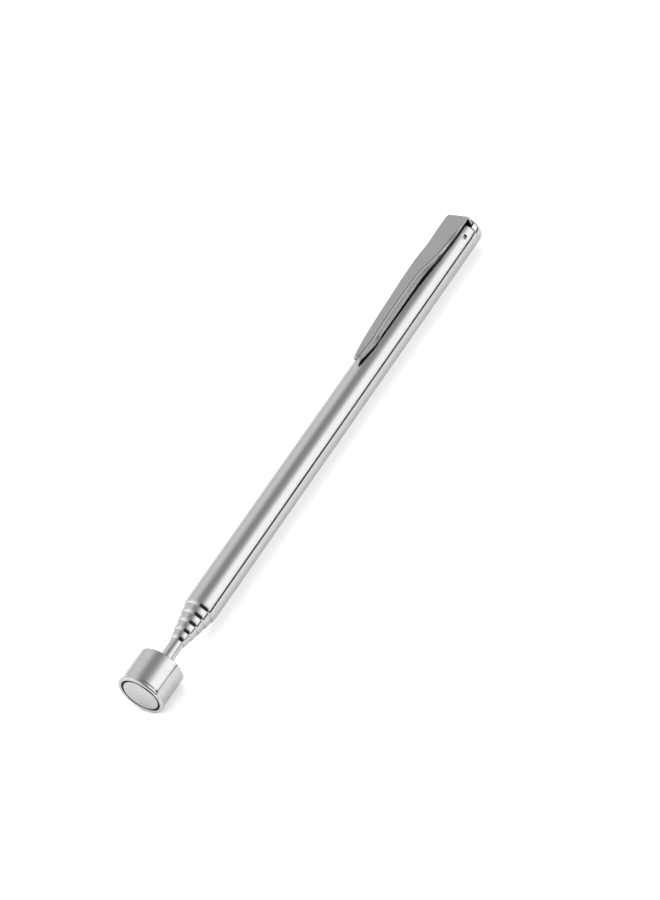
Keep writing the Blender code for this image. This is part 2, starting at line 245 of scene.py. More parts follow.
# name, from (x, y), to (x, y), height over the floor, grey
CARDS = (
    ("grey_card", (-1.5, -1.5), (1.5, 1.5), 0.00004, 0.50),
    ("black_card", (0.018, -0.036), (0.6, -0.017), 0.0001, 0.01),
    ("mouth_flag", (-0.30, -0.6), (0.024, -0.037), 0.0001, 0.01),
)
for name, low, high, lift, grey in CARDS:
    card = stage_plane(name, low, high, FLOOR_HEIGHT + lift, (grey, grey, grey))
    card.visible_camera = False
    card.visible_diffuse = False
    card.visible_shadow = False
    card.visible_transmission = False
print("floor at", round(FLOOR_HEIGHT / MM, 2), "mm")

# %% [markdown]
# ## Shared marks on the metal
#
# Real metal is never perfectly even: a tube has faint lines from the die it was drawn through, a turned
# part has rings from the tool, and both carry hairline scratches and the greasy film of handling. Each
# is used by several finishes, so each is a node group, with its own scale and strength in every material.
# All of them read Object coordinates, because the pieces stay where they were made.

# %% Node group helpers
def new_group(name, inputs, outputs):
    group = bpy.data.node_groups.new(name, "ShaderNodeTree")
    for label, value in inputs:
        kind = "NodeSocketVector" if label == "Vector" else "NodeSocketFloat"
        socket = group.interface.new_socket(label, in_out="INPUT", socket_type=kind)
        if label != "Vector":
            socket.default_value = value
    for label in outputs:
        group.interface.new_socket(label, in_out="OUTPUT", socket_type="NodeSocketFloat")
    return group, group.nodes.new("NodeGroupInput"), group.nodes.new("NodeGroupOutput")


def math_node(tree, operation, first, second=None, clamp=False):
    node = tree.nodes.new("ShaderNodeMath")
    node.operation = operation
    node.use_clamp = clamp
    for socket, value in zip(node.inputs, (first, second)):
        if value is None:
            continue
        if isinstance(value, (int, float)):
            socket.default_value = value
        else:
            tree.links.new(value, socket)
    return node.outputs[0]


def noise_node(tree, vector, scale, detail, distortion=0.0):
    node = tree.nodes.new("ShaderNodeTexNoise")
    node.inputs["Scale"].default_value = scale
    node.inputs["Detail"].default_value = detail
    node.inputs["Distortion"].default_value = distortion
    tree.links.new(vector, node.inputs["Vector"])
    return node.outputs["Fac"]


def scaled_vector(tree, vector, factor):
    node = tree.nodes.new("ShaderNodeVectorMath")
    node.operation = "SCALE"
    tree.links.new(vector, node.inputs[0])
    tree.links.new(factor, node.inputs["Scale"])
    return node.outputs[0]


def cut_off(tree, value, threshold, gain):
    """Nothing below the threshold, then a steep rise to one."""
    return math_node(tree, "MULTIPLY", math_node(tree, "SUBTRACT", value, threshold), gain, clamp=True)


def colour_node(tree, shader, colour, other, factor):
    """Base colour that goes from one colour to the other as the factor rises."""
    tone = tree.nodes.new("ShaderNodeMix")
    tone.data_type = "RGBA"
    tone.inputs[MIX_FIRST].default_value = (*colour, 1)
    tone.inputs[MIX_SECOND].default_value = (*other, 1)
    tree.links.new(factor, tone.inputs["Factor"])
    tree.links.new(tone.outputs[MIX_RESULT], shader.inputs["Base Color"])


def bump_node(tree, shader, height, depth):
    """Relief on the surface, with its depth in millimetres."""
    bump = tree.nodes.new("ShaderNodeBump")
    bump.inputs["Distance"].default_value = depth * MM
    bump.inputs["Strength"].default_value = 1.0
    tree.links.new(height, bump.inputs["Height"])
    tree.links.new(bump.outputs[0], shader.inputs["Normal"])


# %% Drawn lines and turned rings
COARSE_SCALE = 0.22
FINE_SHARE = 0.6
COARSE_SHARE = 0.4


def make_lines(name, stretch):
    """Fine parallel marks: the pattern is squeezed across the marks and stretched along them."""
    group, given, result = new_group(name, [("Vector", None), ("Spacing", 1.0)], ["Height", "Mask"])
    squeeze = group.nodes.new("ShaderNodeVectorMath")
    squeeze.operation = "MULTIPLY"
    squeeze.inputs[1].default_value = stretch
    group.links.new(given.outputs["Vector"], squeeze.inputs[0])
    spread = scaled_vector(group, squeeze.outputs[0], given.outputs["Spacing"])
    fine = math_node(group, "MULTIPLY", noise_node(group, spread, 1.0, 3.0), FINE_SHARE)
    coarse = math_node(group, "MULTIPLY", noise_node(group, spread, COARSE_SCALE, 1.0), COARSE_SHARE)
    both = math_node(group, "ADD", fine, coarse)
    group.links.new(both, result.inputs["Height"])
    group.links.new(cut_off(group, both, 0.42, 5.0), result.inputs["Mask"])
    return group


DRAWN_LINES = make_lines("drawn_lines", (60, 9000, 9000))
TURNED_RINGS = make_lines("turned_rings", (9000, 120, 120))
print("groups:", DRAWN_LINES.name, TURNED_RINGS.name)

# %% Hairline scratches
SCRATCH_TILTS = (0.3, 1.4, 2.3)
SCRATCH_STRETCH = (90, 700, 700)
SCRATCH_THINNESS = 60.0
PATCH_SCALE = 260


def make_scratches():
    """Thin arcs: the edges of large, stretched cells, cut into short lengths by a second noise."""
    group, given, result = new_group("hairline_scratches", [("Vector", None), ("Scale", 1.0)], ["Mask"])
    place = scaled_vector(group, given.outputs["Vector"], given.outputs["Scale"])
    lengths = noise_node(group, place, PATCH_SCALE, 1.0)
    total = None
    for tilt in SCRATCH_TILTS:
        turned = group.nodes.new("ShaderNodeMapping")
        turned.inputs["Rotation"].default_value = (tilt, tilt * 1.7, tilt * 0.6)
        turned.inputs["Scale"].default_value = SCRATCH_STRETCH
        group.links.new(place, turned.inputs["Vector"])
        cells = group.nodes.new("ShaderNodeTexVoronoi")
        cells.feature = "DISTANCE_TO_EDGE"
        cells.inputs["Scale"].default_value = 1.0
        group.links.new(turned.outputs[0], cells.inputs["Vector"])
        away = math_node(group, "MULTIPLY", cells.outputs["Distance"], SCRATCH_THINNESS)
        thin = math_node(group, "SUBTRACT", 1.0, away, clamp=True)
        total = thin if total is None else math_node(group, "MAXIMUM", total, thin)
    short = cut_off(group, lengths, 0.54, 14.0)
    group.links.new(math_node(group, "MULTIPLY", total, short), result.inputs["Mask"])
    return group


SCRATCHES = make_scratches()

# %% Handling film
FILM_SCALE = 130
SPECK_SCALE = 5200


def make_film():
    """Soft patches where fingers leave a film and the polish is a little duller."""
    group, given, result = new_group("handling_film", [("Vector", None), ("Scale", 1.0)], ["Mask", "Specks"])
    place = scaled_vector(group, given.outputs["Vector"], given.outputs["Scale"])
    patches = noise_node(group, place, FILM_SCALE, 4.0, 0.6)
    group.links.new(cut_off(group, patches, 0.38, 3.0), result.inputs["Mask"])
    dots = noise_node(group, place, SPECK_SCALE, 1.0)
    group.links.new(cut_off(group, dots, 0.70, 12.0), result.inputs["Specks"])
    return group


FILM = make_film()
print("groups:", SCRATCHES.name, FILM.name)

# %% [markdown]
# ## The finishes
#
# A metal finish is a base colour, how sharp its reflections are, and its marks. One function places the
# groups, because every metal here wants the same wiring, and the numbers say what sets each metal apart:
# mirror-polished steel, satin spring steel, plated magnet, turned brass and rolled bronze.

# %% Metal finishes
LINE_TONE = 0.5
SPECK_TONE = 0.8
SCRATCH_CUT = 0.5


def metal(name, colour, dark, roughness, lines, spacing, depth, film=0.05, scratched=0.10):
    """A metal with marks: dark is their colour and depth is in millimetres.

    The roughness rises by film where there is a film and by scratched where there are scratches.
    """
    material = bpy.data.materials.new(name)
    material.use_nodes = True
    tree = material.node_tree
    shader = tree.nodes["Principled BSDF"]
    shader.inputs["Metallic"].default_value = 1.0
    place = tree.nodes.new("ShaderNodeTexCoord").outputs["Object"]
    groups = {}
    wanted = (
        ("lines", lines, "Spacing", spacing),
        ("film", FILM, "Scale", 1.0),
        ("scratches", SCRATCHES, "Scale", 1.0),
    )
    for label, group, key, value in wanted:
        node = tree.nodes.new("ShaderNodeGroup")
        node.node_tree = group
        node.inputs[key].default_value = value
        tree.links.new(place, node.inputs["Vector"])
        groups[label] = node.outputs
    marks = math_node(tree, "MULTIPLY", groups["lines"]["Mask"], LINE_TONE)
    specks = math_node(tree, "MULTIPLY", groups["film"]["Specks"], SPECK_TONE)
    colour_node(tree, shader, colour, dark, math_node(tree, "MAXIMUM", marks, specks))
    filmed = math_node(tree, "ADD", math_node(tree, "MULTIPLY", groups["film"]["Mask"], film), roughness)
    torn = math_node(tree, "MULTIPLY", groups["scratches"]["Mask"], scratched)
    tree.links.new(math_node(tree, "ADD", filmed, torn), shader.inputs["Roughness"])
    cut = math_node(tree, "MULTIPLY", groups["scratches"]["Mask"], SCRATCH_CUT)
    bump_node(tree, shader, math_node(tree, "SUBTRACT", groups["lines"]["Height"], cut), depth)
    return material


POLISHED = metal("polished_steel", (0.72, 0.72, 0.715), (0.66, 0.66, 0.65), 0.07, DRAWN_LINES, 1.0, 0.0010)
TURNED_STEEL = metal("turned_steel", (0.72, 0.72, 0.72), (0.65, 0.65, 0.65), 0.08, TURNED_RINGS, 0.8, 0.0012)
SATIN = metal("satin_spring_steel", (0.50, 0.50, 0.495), (0.45, 0.45, 0.44), 0.27, DRAWN_LINES, 0.9, 0.0008)
# Painted shade: a near-black copy of the steel, put on the inside of the clip's channel.
SHADE_PAINTED_INSIDE = metal("painted_shade_inside", (0.10, 0.10, 0.10), (0.06, 0.06, 0.06), 0.50, DRAWN_LINES, 0.9, 0.002)
# Painted highlight: a brighter, glossier copy of the clip's satin steel, put on its rounded edges.
HIGHLIGHT_PAINTED_EDGE = metal("painted_highlight_edge", (0.86, 0.86, 0.85), (0.78, 0.78, 0.77), 0.16, DRAWN_LINES, 1.0, 0.001)
NICKEL_TONES = (0.70, 0.70, 0.695), (0.64, 0.64, 0.625)
NICKEL = metal("nickel_plate", *NICKEL_TONES, 0.26, TURNED_RINGS, 0.3, 0.0015, film=0.06, scratched=0.12)
BRASS = metal("turned_brass", (0.83, 0.62, 0.30), (0.70, 0.48, 0.20), 0.16, TURNED_RINGS, 0.7, 0.003)
BRONZE = metal("rolled_bronze", (0.78, 0.52, 0.33), (0.62, 0.38, 0.22), 0.24, DRAWN_LINES, 0.7, 0.003)
METALS = (POLISHED, TURNED_STEEL, SATIN, SHADE_PAINTED_INSIDE, HIGHLIGHT_PAINTED_EDGE, NICKEL, BRASS, BRONZE)
print("metals:", ", ".join(finish.name for finish in METALS))

# %% Black epoxy
RESIN_BLACK = (0.003, 0.003, 0.003)
RESIN_DUST = (0.016, 0.016, 0.015)
RESIN_SHINE = 0.15
DUST_SCALE = 3800
SAG_SCALE = 900
SAG_DEPTH = 0.03


def make_epoxy():
    """Cast resin: black, half glossy, with dust and small sags in the surface."""
    material = bpy.data.materials.new("black_epoxy")
    material.use_nodes = True
    tree = material.node_tree
    shader = tree.nodes["Principled BSDF"]
    shader.inputs["Specular IOR Level"].default_value = RESIN_SHINE
    place = tree.nodes.new("ShaderNodeTexCoord").outputs["Object"]
    dust = noise_node(tree, place, DUST_SCALE, 3.0)
    colour_node(tree, shader, RESIN_BLACK, RESIN_DUST, cut_off(tree, dust, 0.5, 3.0))
    sags = noise_node(tree, place, SAG_SCALE, 2.0)
    dulled = math_node(tree, "ADD", math_node(tree, "MULTIPLY", sags, 0.25), 0.4)
    tree.links.new(dulled, shader.inputs["Roughness"])
    bump_node(tree, shader, sags, SAG_DEPTH)
    return material


EPOXY = make_epoxy()

# %% [markdown]
# ## Turning on the lathe
#
# A turned piece could be a cylinder with loops cut into it, but every step and taper would then need its
# own loop. Here the outline is drawn once as points from the cap's end to the magnet's end, and spun.
# A third number at a point is the rounding of that corner, which is bevelled after the spin. The corners
# are what catches the light, so nearly every edge in sight is rounded.

# %% A lathe
SIDES = 128
SHARP_ANGLE = math.radians(38)
ROUNDING_STEPS = 3
SNAP = 1e-6  # metres
DEBURRED = 0.03  # the rounding of an edge that was only made safe to touch


def outline_wire(outline, ring):
    """A wire in the XZ plane through (radius, station, rounding) points."""
    build = bmesh.new()
    points = [build.verts.new((station * MM, 0, radius * MM)) for radius, station, _ in outline]
    followers = points[1:] + points[:1] if ring else points[1:]
    for point, follower in zip(points, followers):
        build.edges.new((point, follower))
    return build


def on_ring(edge, radius, station):
    """True for an edge that runs round the axis at this radius and station."""
    return all(
        abs(vert.co.x - station * MM) < SNAP and abs(math.hypot(vert.co.y, vert.co.z) - radius * MM) < SNAP
        for vert in edge.verts
    )


def spun(outline, ring=True, sides=SIDES):
    """Spins an outline about the tool's axis, closes it, and rounds its corners."""
    build = outline_wire(outline, ring)
    bmesh.ops.spin(
        build,
        geom=build.verts[:] + build.edges[:],
        cent=(0, 0, 0),
        axis=(1, 0, 0),
        angle=2 * math.pi,
        steps=sides,
        use_merge=True,
    )
    bmesh.ops.remove_doubles(build, verts=build.verts, dist=SNAP / 2)
    bmesh.ops.recalc_face_normals(build, faces=build.faces)
    for radius, station, rounding in outline:
        if rounding:
            bmesh.ops.bevel(
                build,
                geom=[edge for edge in build.edges if on_ring(edge, radius, station)],
                offset=rounding * MM,
                offset_type="OFFSET",
                affect="EDGES",
                segments=ROUNDING_STEPS,
                profile=0.5,
                material=-1,
            )
    return build


def add_piece(name, build, material, body, slot, *nodes):
    """Makes an object of a finished bmesh, lets it ride on a body, and hides the CAD nodes it stands for."""
    mesh = bpy.data.meshes.new(name)
    build.to_mesh(mesh)
    build.free()
    mesh.materials.append(material)
    mesh.shade_smooth()
    mesh.set_sharp_from_angle(angle=SHARP_ANGLE)
    piece = bpy.data.objects.new(name, mesh)
    bpy.context.scene.collection.objects.link(piece)
    evened = piece.modifiers.new("Even normals", "WEIGHTED_NORMAL")
    evened.keep_sharp = True
    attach(piece, body)
    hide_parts(*nodes)
    print(name, "has", len(mesh.polygons), "faces")
    return piece


# %% [markdown]
# ## The tubes
#
# Five tubes nest in each other. Each is rolled in at its mouth until it almost touches the next one, so
# that the stop ring behind can't come out. The roll is a curve that starts level with the tube and
# steepens towards a thin lip. The wall is real: the bore is part of the outline, and it narrows inside
# the roll as the outside does.

# %% Tube dimensions
TUBE_RADII = (3.5, 3.1, 2.7, 2.3, 1.9)
ROD_RADIUS = 1.45
WALL = 0.22
FIRST_MOUTH = 14.0
MOUTH_STEP = 1.96
HANDLE_END = 130.65
RUN_GAP = 0.03
ROLL_LENGTH = 2.0
ROLL_STEPS = 16
LIP_WALL = 0.08
LIP_EDGE = 0.05
LIP_ROUNDING = 0.015
TAPER_POWER = 1.3
NOSE_POWER = 6
LAND = 0.5
CONTACT_GAP = 0.03
REST_GAP = 0.3
PLUG_DEPTH = 5.0
FLANGE = 1.0
SPIGOT = 2.4
SPRING_LENGTH = 5.5
SPRING_PLAY = 0.05
NECK_DEPTH = 0.08
RIVET_HEIGHT = 0.3
LAST = len(TUBE_RADII)


def mouth_of(number):
    return FIRST_MOUTH + MOUTH_STEP * (LAST - 1 - number)


def bore_of(number):
    return TUBE_RADII[number] - WALL


def inner_radius(number):
    return TUBE_RADII[number + 1] if number + 1 < LAST else ROD_RADIUS


def rear_of(number):
    """Station of the rear face of a stop ring, with the tool closed."""
    rear = HANDLE_END - PLUG_DEPTH - REST_GAP - (number - 1) * (FLANGE + SPIGOT + REST_GAP)
    return rear - RIVET_HEIGHT if number == LAST else rear


def neck_end(number):
    return rear_of(number) - FLANGE - CONTACT_GAP


def neck_start(number):
    return neck_end(number) - SPRING_LENGTH - 2 * SPRING_PLAY


print("mouths at", [mouth_of(n) for n in range(LAST)], "mm")

# %% Tube outlines
def rolled_mouth(number):
    """The outside of the roll, from the tube's full radius to the lip, and back in to the bore."""
    radius, mouth = TUBE_RADII[number], mouth_of(number)
    opening = inner_radius(number) + RUN_GAP
    lip = opening + LIP_WALL
    points = []
    for step in range(ROLL_STEPS + 1):
        along = step / ROLL_STEPS
        # A slight taper that ends in a short, steep nose.
        rolled = radius - (radius - lip) * (0.5 * along**TAPER_POWER + 0.5 * along**NOSE_POWER)
        points.append((rolled, mouth + LIP_EDGE + (ROLL_LENGTH - LIP_EDGE) * (1 - along), 0))
    points += [(lip - LIP_EDGE, mouth, LIP_ROUNDING), (opening, mouth, LIP_ROUNDING), (opening, mouth + LAND, 0)]
    return points + [(bore_of(number), mouth + ROLL_LENGTH, 0)]


def sliding_tube(number):
    """A tube with a shallow neck near its rear end, where the friction spring sits."""
    radius, rear = TUBE_RADII[number], neck_end(number)
    neck = radius - NECK_DEPTH
    outline = [(neck, rear, DEBURRED), (neck, neck_start(number), 0)]
    outline += [(radius, neck_start(number) - NECK_DEPTH, 0)] + rolled_mouth(number)
    return outline + [(bore_of(number), rear, DEBURRED)]


for number in range(1, LAST):
    tube = spun(sliding_tube(number))
    add_piece(f"drawn_tube_{number}", tube, POLISHED, f"section_{number}", "polished_steel", f"tube_{number}")

# %% [markdown]
# ## The handle tube and its crimps
#
# The cap is held by three small dents that push the handle's wall into a groove. They could be
# balls cut out with a boolean, but the wall of a real dent bends in as one sheet, with a soft shoulder.
# So the outline gets a band of close rings there, and the points near each dent are pressed inwards by a
# smooth bell-shaped amount, on both faces of the wall.

# %% Press the crimps
CRIMP_INSET = 2.75
CRIMP_STATION = HANDLE_END - CRIMP_INSET
CRIMP_ANGLES = (52.5, 180.0, 307.5)  # degrees from the clip towards -Y
CRIMP_REACH = 0.72
CRIMP_DEPTH = 0.30
BAND_STEP = 0.09
HANDLE_SIDES = 224
HANDLE_ROUNDING = 0.16


def crimp_band(radius):
    """Close rings over the crimps, from the rear to the front."""
    half = round((CRIMP_REACH + BAND_STEP) / BAND_STEP)
    return [(radius, CRIMP_STATION - step * BAND_STEP, 0) for step in range(-half, half + 1)]


def press_crimps(build):
    for vert in build.verts:
        radial = Vector((0, vert.co.y, vert.co.z))
        for angle in CRIMP_ANGLES:
            toward = Vector((0, -math.sin(math.radians(angle)), math.cos(math.radians(angle))))
            arc = radial.angle(toward) * radial.length
            reach = math.hypot(vert.co.x - CRIMP_STATION * MM, arc) / (CRIMP_REACH * MM)
            if reach < 1:
                depth = CRIMP_DEPTH * MM * math.cos(math.pi / 2 * reach) ** 2
                vert.co -= radial.normalized() * depth


handle_outline = [(TUBE_RADII[0], HANDLE_END, HANDLE_ROUNDING)] + crimp_band(TUBE_RADII[0]) + rolled_mouth(0)
handle_outline += list(reversed(crimp_band(bore_of(0)))) + [(bore_of(0), HANDLE_END, DEBURRED)]
handle = spun(handle_outline, sides=HANDLE_SIDES)
press_crimps(handle)
add_piece("polished_handle", handle, POLISHED, "handle", "polished_steel", "handle_tube")

# %% [markdown]
# ## The domed cap
#
# The cap is a plug with a low dome, turned from bar. A slot is milled across its joint for the tab of the
# clip. The dome is a quarter of an ellipse in the outline, and the slot is the one cut in this lesson
# that an outline can't make, so it is a boolean with a block, applied at once.

# %% Turn and slot the cap
CAP_SHOULDER = 1.12
DOME_HEIGHT = 1.9
DOME_STEPS = 18
SLOT_WIDTH = 5.6
SLOT_FLOOR = 1.5
SLOT_BELOW_JOINT = 0.2
SLOT_ABOVE_JOINT = 1.3
GROOVE_RADIUS = 2.92
GROOVE_HALF = 0.65
GROOVE_ROUNDING = 0.02
JOINT_ROUNDING = 0.14
FOOT_ROUNDING = 0.2


def cap_outline():
    joint = HANDLE_END + CONTACT_GAP
    shoulder = joint + CAP_SHOULDER
    spigot = bore_of(0) - CONTACT_GAP
    foot = HANDLE_END - PLUG_DEPTH
    points = []
    for step in range(DOME_STEPS + 1):
        turn = math.pi / 2 * (1 - step / DOME_STEPS)
        points.append((TUBE_RADII[0] * math.cos(turn), shoulder + DOME_HEIGHT * math.sin(turn), 0))
    points[0] = (0, shoulder + DOME_HEIGHT, 0)
    points += [(TUBE_RADII[0], joint, JOINT_ROUNDING), (spigot, joint, 0)]
    groove_rear, groove_front = CRIMP_STATION + GROOVE_HALF, CRIMP_STATION - GROOVE_HALF
    points += [(spigot, groove_rear, GROOVE_ROUNDING), (GROOVE_RADIUS, groove_rear, 0)]
    points += [(GROOVE_RADIUS, groove_front, 0), (spigot, groove_front, GROOVE_ROUNDING)]
    return points + [(spigot, foot, FOOT_ROUNDING), (0, foot, 0)]


def block(name, low, high):
    """A plain block between two corners, used as a cutter."""
    build = bmesh.new()
    bmesh.ops.create_cube(build, size=1)
    bmesh.ops.scale(build, vec=[(b - a) * MM for a, b in zip(low, high)], verts=build.verts)
    bmesh.ops.translate(build, vec=[(a + b) / 2 * MM for a, b in zip(low, high)], verts=build.verts)
    mesh = bpy.data.meshes.new(name)
    build.to_mesh(mesh)
    build.free()
    cutter = bpy.data.objects.new(name, mesh)
    bpy.context.scene.collection.objects.link(cutter)
    return cutter


def cut_away(build, cutter):
    """The bmesh with a cutter's shape taken out of it."""
    mesh = bpy.data.meshes.new("blank")
    build.to_mesh(mesh)
    build.free()
    blank = bpy.data.objects.new("blank", mesh)
    bpy.context.scene.collection.objects.link(blank)
    cut = blank.modifiers.new("Cut", "BOOLEAN")
    cut.operation = "DIFFERENCE"
    cut.solver = "EXACT"
    cut.object = cutter
    result = bmesh.new()
    result.from_object(blank, bpy.context.evaluated_depsgraph_get())
    for used in (blank, cutter):
        bpy.data.objects.remove(used, do_unlink=True)
    return result


clip_slot = block(
    "clip_slot",
    (HANDLE_END - SLOT_BELOW_JOINT, -SLOT_WIDTH / 2, SLOT_FLOOR),
    (HANDLE_END + SLOT_ABOVE_JOINT, SLOT_WIDTH / 2, TUBE_RADII[0] + 1),
)
slotted = cut_away(spun(cap_outline(), ring=False), clip_slot)
add_piece("domed_cap", slotted, POLISHED, "handle", "cap_steel", "end_cap")

# %% [markdown]
# ## The rod and the magnet's cup
#
# The rod runs through the back of the cup and is riveted over inside it, and its rear end is riveted
# through the last stop ring. The cup is turned from bar with a flared rim that guards the magnet. The
# magnet is a plated disc with a ground edge, set in black resin that stands a little below the rim.

# %% Rod
RIVET_TENON = 0.8
RIVET_RADIUS = 1.05
CUP_BACK = 8.25
CUP_FLOOR = 5.5
ROD_TENON = 1.0
TENON_HEAD = 1.7
TENON_HEAD_HEIGHT = 0.35
ROD_SIDES = 96


def rod_outline():
    neck = ROD_RADIUS - NECK_DEPTH
    rear = rear_of(LAST) + CONTACT_GAP
    head = CUP_FLOOR - CONTACT_GAP
    return [
        (0, rear + RIVET_HEIGHT, 0),
        (RIVET_RADIUS, rear + RIVET_HEIGHT, 0.25),
        (RIVET_RADIUS, rear, 0),
        (RIVET_TENON, rear, 0),
        (RIVET_TENON, neck_end(LAST), 0),
        (neck, neck_end(LAST), DEBURRED),
        (neck, neck_start(LAST), 0),
        (ROD_RADIUS, neck_start(LAST) - NECK_DEPTH, 0),
        (ROD_RADIUS, CUP_BACK + CONTACT_GAP, DEBURRED),
        (ROD_TENON, CUP_BACK + CONTACT_GAP, 0),
        (ROD_TENON, head, 0),
        (TENON_HEAD, head, 0),
        (TENON_HEAD, head - TENON_HEAD_HEIGHT, 0.2),
        (0, head - TENON_HEAD_HEIGHT, 0),
    ]


rod = spun(rod_outline(), ring=False, sides=ROD_SIDES)
add_piece("tip_stem", rod, POLISHED, "rod_and_head", "polished_steel", "tip_rod")

# %% Cup, magnet and resin
CUP_RADIUS = 5.0
LIP_RADIUS = 5.22
RIM_STATION = 0.05
CUP_BORE = 4.48
MAGNET_RADIUS = 4.0
MAGNET_LENGTH = 5.0
MAGNET_EDGE = 0.2
BOND_RECESS = 0.12
FLARE_START = 1.30
LIP_STATION = 0.34
FLARE_STEPS = 10
RIM_STEPS = 6
CUP_BACK_ROUNDING = 0.22
RIM_ROUNDING = 0.08
RESIN_SAG = 0.06
FACE_SIDES = 192


def flared_rim():
    """From the cup's side out to the lip, and round its edge to the rim."""
    points = []
    for step in range(FLARE_STEPS + 1):
        along = step / FLARE_STEPS
        swell = along * along * (3 - 2 * along)
        radius = CUP_RADIUS + (LIP_RADIUS - CUP_RADIUS) * swell
        points.append((radius, FLARE_START + (LIP_STATION - FLARE_START) * along, 0))
    for step in range(1, RIM_STEPS + 1):
        turn = math.pi / 2 * step / RIM_STEPS
        radius = LIP_RADIUS - (LIP_STATION - RIM_STATION) * (1 - math.cos(turn))
        points.append((radius, LIP_STATION - (LIP_STATION - RIM_STATION) * math.sin(turn), 0))
    return points


rod_hole = ROD_TENON + CONTACT_GAP
cup_outline = [(CUP_RADIUS, CUP_BACK, CUP_BACK_ROUNDING)] + flared_rim()
cup_outline += [(CUP_BORE, RIM_STATION, RIM_ROUNDING), (CUP_BORE, CUP_FLOOR, 0)]
cup_outline += [(rod_hole, CUP_FLOOR, 0), (rod_hole, CUP_BACK, 0)]
cup = spun(cup_outline, sides=FACE_SIDES)
add_piece("flared_cup", cup, TURNED_STEEL, "rod_and_head", "cup_steel", "magnet_cup")

magnet_outline = [(0, MAGNET_LENGTH, 0), (MAGNET_RADIUS, MAGNET_LENGTH, 0.1)]
magnet_outline += [(MAGNET_RADIUS, 0, MAGNET_EDGE), (0, 0, 0)]
magnet = spun(magnet_outline, ring=False, sides=FACE_SIDES)
add_piece("magnet_disc", magnet, NICKEL, "rod_and_head", "nickel_plate", "magnet")

inside, outside = MAGNET_RADIUS + CONTACT_GAP, CUP_BORE - CONTACT_GAP
resin = [(outside, MAGNET_LENGTH, 0), (outside, BOND_RECESS, 0)]
resin += [((inside + outside) / 2, BOND_RECESS + RESIN_SAG, 0)]
resin += [(inside, BOND_RECESS, 0), (inside, MAGNET_LENGTH, 0)]
add_piece("resin_ring", spun(resin), EPOXY, "rod_and_head", "epoxy", "magnet_bond")

# %% [markdown]
# ## Stop rings and friction springs
#
# Behind each tube sit the two pieces that make the stem work. The brass ring can't pass the rolled mouth
# in front of it, and the split bronze sleeve drags on the bore, so that the stem stays where it is put.
# The sleeve is a spin that stops short of a full turn, which leaves the slit without any cutting.

# %% Stop rings
BUSH_EDGE = 0.1
SLIDE_GAP = 0.04  # a real sleeve presses lightly here


def stop_ring(number):
    rear = rear_of(number)
    flange = bore_of(number - 1) - SLIDE_GAP
    outline = [(flange, rear, BUSH_EDGE), (flange, rear - FLANGE, 0.04)]
    if number < LAST:
        spigot = bore_of(number) - CONTACT_GAP
        front = rear - FLANGE - SPIGOT
        outline += [(spigot, rear - FLANGE, 0), (spigot, front, BUSH_EDGE)]
        hole = spigot / 2
    else:
        front = rear - FLANGE
        hole = RIVET_TENON + CONTACT_GAP
    return outline + [(hole, front, 0), (hole, rear, 0)]


def section_of(number):
    return f"section_{number}" if number < LAST else "rod_and_head"


for number in range(1, LAST + 1):
    ring = spun(stop_ring(number))
    add_piece(f"stop_ring_{number}", ring, BRASS, section_of(number), "brass", f"stop_bush_{number}")

# %% Split sleeves
SLIT = 0.7


def split_sleeve(number):
    """A sleeve spun from one side of its slit round to the other, then closed with two end faces."""
    radius = TUBE_RADII[number] if number < LAST else ROD_RADIUS
    outer, inner = bore_of(number - 1) - SLIDE_GAP, radius - NECK_DEPTH + SPRING_PLAY
    rear = neck_end(number) - SPRING_PLAY
    front = rear - SPRING_LENGTH
    build = outline_wire([(outer, rear, 0), (outer, front, 0), (inner, front, 0), (inner, rear, 0)], True)
    half_slit = SLIT / 2 / outer
    bmesh.ops.contextual_create(build, geom=build.edges[:])
    to_slit = Matrix.Rotation(math.pi + half_slit, 3, "X")
    bmesh.ops.rotate(build, cent=(0, 0, 0), matrix=to_slit, verts=build.verts)
    bmesh.ops.spin(
        build,
        geom=build.faces[:] + build.edges[:] + build.verts[:],
        cent=(0, 0, 0),
        axis=(1, 0, 0),
        angle=2 * (math.pi - half_slit),
        steps=SIDES,
        use_duplicate=False,
    )
    bmesh.ops.remove_doubles(build, verts=build.verts, dist=SNAP / 2)
    bmesh.ops.recalc_face_normals(build, faces=build.faces)
    return build


for number in range(1, LAST + 1):
    add_piece(
        f"split_sleeve_{number}",
        split_sleeve(number),
        BRONZE,
        f"spring_{number}",
        "spring_bronze",
        f"friction_spring_{number}",
    )

# %% [markdown]
# ## The folded clip
#
# The clip is one strip of spring steel: a tab in the cap's slot, a round bend, a flat top, and then a
# shoulder where its two sides fold down into a channel that narrows to the tip. It could be built from
# boxes, but the shoulder would never look like folded sheet. So a flat grid is made first, and every
# point of it is carried to its folded place. The sheet then gets its thickness, and its edges are
# rounded into a second, brighter finish, which is a painted highlight along the clip's edges. The inside
# of the channel gets a near-black finish, which is painted shade for the dark space under the clip.

# %% Clip dimensions
SHEET = 0.45
TAB_STATION = 131.6
TAB_FOOT = 1.9
TAB_HALF = 2.55
TAB_FLANGE = 1.0
BEND_RADIUS = 0.55
BEND_STEPS = 14
TAB_STEPS = 8
FOLD_RADIUS = 0.28
FOLD_STEPS = 8
FLAT_STEPS = 6
FLANGE_STEPS = 5
CLIP_STEP = 0.25
